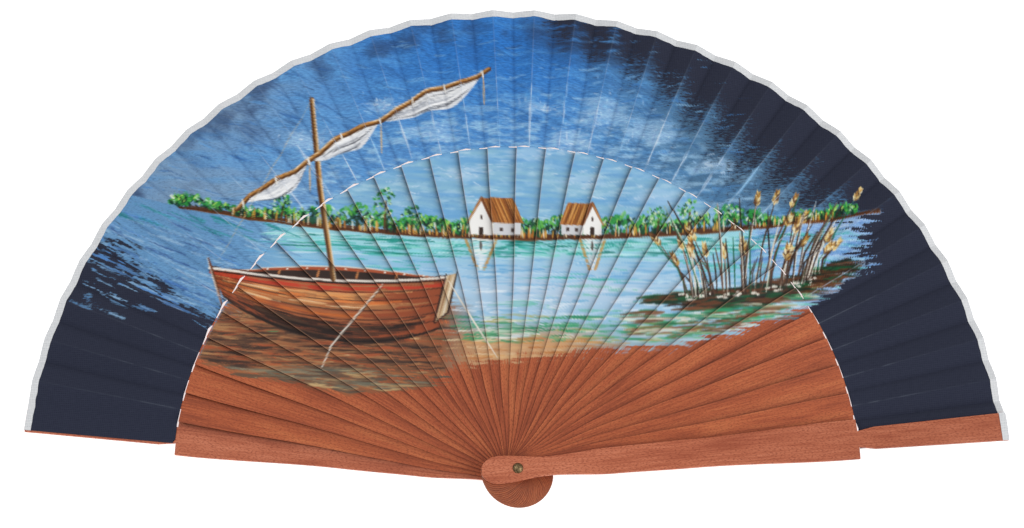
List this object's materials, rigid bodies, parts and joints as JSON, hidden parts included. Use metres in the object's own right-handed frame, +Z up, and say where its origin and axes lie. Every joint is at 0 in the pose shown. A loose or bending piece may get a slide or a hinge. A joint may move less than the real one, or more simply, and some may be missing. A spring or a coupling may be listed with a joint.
{
  "type": "hand fan",
  "caption": "Folding hand fan, fully open: thin wooden sticks between two guards on one brass rivet, with a pleated painted cloth leaf bound in white tape.",
  "frame": {"origin": "On the rivet's axis, at the underside of the back guard, where the rivet's flush tail shares the resting plane", "axes": "+Z up through the stack from the back guard to the front guard, which is also the rivet's axis; +Y from the rivet to the middle of the open leaf; +X to the side of the front guard"},
  "size_m": [0.4288, 0.231, 0.0155],
  "materials": {
    "guard_wood": "lightly varnished pearwood, fine speckled grain",
    "stick_wood": "lightly varnished pearwood, painted by hand over part of its length",
    "leaf_cloth": "dyed plain-weave cotton, hand-painted with a lake scene",
    "edge_tape": "white cotton tape, matt",
    "brass": "dull brass, slightly tarnished"
  },
  "bodies": {
    "back_guard_and_leaf": {"back_guard": "guard_wood", "leaf": "leaf_cloth", "edge_binding": "edge_tape", "rivet_pin": "brass", "rivet_cap": "brass", "back_washer": "brass"},
    "front_guard": {"front_guard": "guard_wood", "tip_binding": "edge_tape"},
    "stick_01": {"stick_01": "stick_wood"},
    "stick_02": {"stick_02": "stick_wood"},
    "stick_03": {"stick_03": "stick_wood"},
    "stick_04": {"stick_04": "stick_wood"},
    "stick_05": {"stick_05": "stick_wood"},
    "stick_06": {"stick_06": "stick_wood"},
    "stick_07": {"stick_07": "stick_wood"},
    "stick_08": {"stick_08": "stick_wood"},
    "stick_09": {"stick_09": "stick_wood"},
    "stick_10": {"stick_10": "stick_wood"},
    "stick_11": {"stick_11": "stick_wood"},
    "stick_12": {"stick_12": "stick_wood"},
    "stick_13": {"stick_13": "stick_wood"},
    "stick_14": {"stick_14": "stick_wood"},
    "stick_15": {"stick_15": "stick_wood"},
    "stick_16": {"stick_16": "stick_wood"},
    "stick_17": {"stick_17": "stick_wood"},
    "stick_18": {"stick_18": "stick_wood"},
    "stick_19": {"stick_19": "stick_wood"},
    "stick_20": {"stick_20": "stick_wood"},
    "stick_21": {"stick_21": "stick_wood"},
    "stick_22": {"stick_22": "stick_wood"},
    "stick_23": {"stick_23": "stick_wood"},
    "stick_24": {"stick_24": "stick_wood"},
    "stick_25": {"stick_25": "stick_wood"},
    "stick_26": {"stick_26": "stick_wood"},
    "stick_27": {"stick_27": "stick_wood"},
    "stick_28": {"stick_28": "stick_wood"},
    "stick_29": {"stick_29": "stick_wood"},
    "stick_30": {"stick_30": "stick_wood"},
    "stick_31": {"stick_31": "stick_wood"},
    "stick_32": {"stick_32": "stick_wood"}
  },
  "joints": [
    {"name": "fan_fold", "type": "hinge", "parent": "back_guard_and_leaf", "child": "front_guard", "pos_m": [0, 0, 0], "axis": [0, 0, 1], "range_deg": [0, 168.3], "deforming": ["leaf", "edge_binding"]},
    {"name": "stick_01_fold", "type": "hinge", "parent": "back_guard_and_leaf", "child": "stick_01", "pos_m": [0, 0, 0], "axis": [0, 0, 1], "range_deg": [0, 5.11]},
    {"name": "stick_02_fold", "type": "hinge", "parent": "back_guard_and_leaf", "child": "stick_02", "pos_m": [0, 0, 0], "axis": [0, 0, 1], "range_deg": [0, 10.21]},
    {"name": "stick_03_fold", "type": "hinge", "parent": "back_guard_and_leaf", "child": "stick_03", "pos_m": [0, 0, 0], "axis": [0, 0, 1], "range_deg": [0, 15.31]},
    {"name": "stick_04_fold", "type": "hinge", "parent": "back_guard_and_leaf", "child": "stick_04", "pos_m": [0, 0, 0], "axis": [0, 0, 1], "range_deg": [0, 20.41]},
    {"name": "stick_05_fold", "type": "hinge", "parent": "back_guard_and_leaf", "child": "stick_05", "pos_m": [0, 0, 0], "axis": [0, 0, 1], "range_deg": [0, 25.51]},
    {"name": "stick_06_fold", "type": "hinge", "parent": "back_guard_and_leaf", "child": "stick_06", "pos_m": [0, 0, 0], "axis": [0, 0, 1], "range_deg": [0, 30.61]},
    {"name": "stick_07_fold", "type": "hinge", "parent": "back_guard_and_leaf", "child": "stick_07", "pos_m": [0, 0, 0], "axis": [0, 0, 1], "range_deg": [0, 35.71]},
    {"name": "stick_08_fold", "type": "hinge", "parent": "back_guard_and_leaf", "child": "stick_08", "pos_m": [0, 0, 0], "axis": [0, 0, 1], "range_deg": [0, 40.81]},
    {"name": "stick_09_fold", "type": "hinge", "parent": "back_guard_and_leaf", "child": "stick_09", "pos_m": [0, 0, 0], "axis": [0, 0, 1], "range_deg": [0, 45.91]},
    {"name": "stick_10_fold", "type": "hinge", "parent": "back_guard_and_leaf", "child": "stick_10", "pos_m": [0, 0, 0], "axis": [0, 0, 1], "range_deg": [0, 51.01]},
    {"name": "stick_11_fold", "type": "hinge", "parent": "back_guard_and_leaf", "child": "stick_11", "pos_m": [0, 0, 0], "axis": [0, 0, 1], "range_deg": [0, 56.11]},
    {"name": "stick_12_fold", "type": "hinge", "parent": "back_guard_and_leaf", "child": "stick_12", "pos_m": [0, 0, 0], "axis": [0, 0, 1], "range_deg": [0, 61.21]},
    {"name": "stick_13_fold", "type": "hinge", "parent": "back_guard_and_leaf", "child": "stick_13", "pos_m": [0, 0, 0], "axis": [0, 0, 1], "range_deg": [0, 66.31]},
    {"name": "stick_14_fold", "type": "hinge", "parent": "back_guard_and_leaf", "child": "stick_14", "pos_m": [0, 0, 0], "axis": [0, 0, 1], "range_deg": [0, 71.41]},
    {"name": "stick_15_fold", "type": "hinge", "parent": "back_guard_and_leaf", "child": "stick_15", "pos_m": [0, 0, 0], "axis": [0, 0, 1], "range_deg": [0, 76.51]},
    {"name": "stick_16_fold", "type": "hinge", "parent": "back_guard_and_leaf", "child": "stick_16", "pos_m": [0, 0, 0], "axis": [0, 0, 1], "range_deg": [0, 81.61]},
    {"name": "stick_17_fold", "type": "hinge", "parent": "back_guard_and_leaf", "child": "stick_17", "pos_m": [0, 0, 0], "axis": [0, 0, 1], "range_deg": [0, 86.71]},
    {"name": "stick_18_fold", "type": "hinge", "parent": "back_guard_and_leaf", "child": "stick_18", "pos_m": [0, 0, 0], "axis": [0, 0, 1], "range_deg": [0, 91.81]},
    {"name": "stick_19_fold", "type": "hinge", "parent": "back_guard_and_leaf", "child": "stick_19", "pos_m": [0, 0, 0], "axis": [0, 0, 1], "range_deg": [0, 96.91]},
    {"name": "stick_20_fold", "type": "hinge", "parent": "back_guard_and_leaf", "child": "stick_20", "pos_m": [0, 0, 0], "axis": [0, 0, 1], "range_deg": [0, 102.01]},
    {"name": "stick_21_fold", "type": "hinge", "parent": "back_guard_and_leaf", "child": "stick_21", "pos_m": [0, 0, 0], "axis": [0, 0, 1], "range_deg": [0, 107.11]},
    {"name": "stick_22_fold", "type": "hinge", "parent": "back_guard_and_leaf", "child": "stick_22", "pos_m": [0, 0, 0], "axis": [0, 0, 1], "range_deg": [0, 112.21]},
    {"name": "stick_23_fold", "type": "hinge", "parent": "back_guard_and_leaf", "child": "stick_23", "pos_m": [0, 0, 0], "axis": [0, 0, 1], "range_deg": [0, 117.31]},
    {"name": "stick_24_fold", "type": "hinge", "parent": "back_guard_and_leaf", "child": "stick_24", "pos_m": [0, 0, 0], "axis": [0, 0, 1], "range_deg": [0, 122.41]},
    {"name": "stick_25_fold", "type": "hinge", "parent": "back_guard_and_leaf", "child": "stick_25", "pos_m": [0, 0, 0], "axis": [0, 0, 1], "range_deg": [0, 127.51]},
    {"name": "stick_26_fold", "type": "hinge", "parent": "back_guard_and_leaf", "child": "stick_26", "pos_m": [0, 0, 0], "axis": [0, 0, 1], "range_deg": [0, 132.61]},
    {"name": "stick_27_fold", "type": "hinge", "parent": "back_guard_and_leaf", "child": "stick_27", "pos_m": [0, 0, 0], "axis": [0, 0, 1], "range_deg": [0, 137.71]},
    {"name": "stick_28_fold", "type": "hinge", "parent": "back_guard_and_leaf", "child": "stick_28", "pos_m": [0, 0, 0], "axis": [0, 0, 1], "range_deg": [0, 142.81]},
    {"name": "stick_29_fold", "type": "hinge", "parent": "back_guard_and_leaf", "child": "stick_29", "pos_m": [0, 0, 0], "axis": [0, 0, 1], "range_deg": [0, 147.91]},
    {"name": "stick_30_fold", "type": "hinge", "parent": "back_guard_and_leaf", "child": "stick_30", "pos_m": [0, 0, 0], "axis": [0, 0, 1], "range_deg": [0, 153.01]},
    {"name": "stick_31_fold", "type": "hinge", "parent": "back_guard_and_leaf", "child": "stick_31", "pos_m": [0, 0, 0], "axis": [0, 0, 1], "range_deg": [0, 158.11]},
    {"name": "stick_32_fold", "type": "hinge", "parent": "back_guard_and_leaf", "child": "stick_32", "pos_m": [0, 0, 0], "axis": [0, 0, 1], "range_deg": [0, 163.21]}
  ],
  "couplings": [
    {"joint": "stick_01_fold", "follows": "fan_fold", "ratio": 0.030303},
    {"joint": "stick_02_fold", "follows": "fan_fold", "ratio": 0.060606},
    {"joint": "stick_03_fold", "follows": "fan_fold", "ratio": 0.090909},
    {"joint": "stick_04_fold", "follows": "fan_fold", "ratio": 0.12121},
    {"joint": "stick_05_fold", "follows": "fan_fold", "ratio": 0.15152},
    {"joint": "stick_06_fold", "follows": "fan_fold", "ratio": 0.18182},
    {"joint": "stick_07_fold", "follows": "fan_fold", "ratio": 0.21212},
    {"joint": "stick_08_fold", "follows": "fan_fold", "ratio": 0.24242},
    {"joint": "stick_09_fold", "follows": "fan_fold", "ratio": 0.27273},
    {"joint": "stick_10_fold", "follows": "fan_fold", "ratio": 0.30303},
    {"joint": "stick_11_fold", "follows": "fan_fold", "ratio": 0.33333},
    {"joint": "stick_12_fold", "follows": "fan_fold", "ratio": 0.36364},
    {"joint": "stick_13_fold", "follows": "fan_fold", "ratio": 0.39394},
    {"joint": "stick_14_fold", "follows": "fan_fold", "ratio": 0.42424},
    {"joint": "stick_15_fold", "follows": "fan_fold", "ratio": 0.45455},
    {"joint": "stick_16_fold", "follows": "fan_fold", "ratio": 0.48485},
    {"joint": "stick_17_fold", "follows": "fan_fold", "ratio": 0.51515},
    {"joint": "stick_18_fold", "follows": "fan_fold", "ratio": 0.54545},
    {"joint": "stick_19_fold", "follows": "fan_fold", "ratio": 0.57576},
    {"joint": "stick_20_fold", "follows": "fan_fold", "ratio": 0.60606},
    {"joint": "stick_21_fold", "follows": "fan_fold", "ratio": 0.63636},
    {"joint": "stick_22_fold", "follows": "fan_fold", "ratio": 0.66667},
    {"joint": "stick_23_fold", "follows": "fan_fold", "ratio": 0.69697},
    {"joint": "stick_24_fold", "follows": "fan_fold", "ratio": 0.72727},
    {"joint": "stick_25_fold", "follows": "fan_fold", "ratio": 0.75758},
    {"joint": "stick_26_fold", "follows": "fan_fold", "ratio": 0.78788},
    {"joint": "stick_27_fold", "follows": "fan_fold", "ratio": 0.81818},
    {"joint": "stick_28_fold", "follows": "fan_fold", "ratio": 0.84848},
    {"joint": "stick_29_fold", "follows": "fan_fold", "ratio": 0.87879},
    {"joint": "stick_30_fold", "follows": "fan_fold", "ratio": 0.90909},
    {"joint": "stick_31_fold", "follows": "fan_fold", "ratio": 0.93939},
    {"joint": "stick_32_fold", "follows": "fan_fold", "ratio": 0.9697}
  ]
}
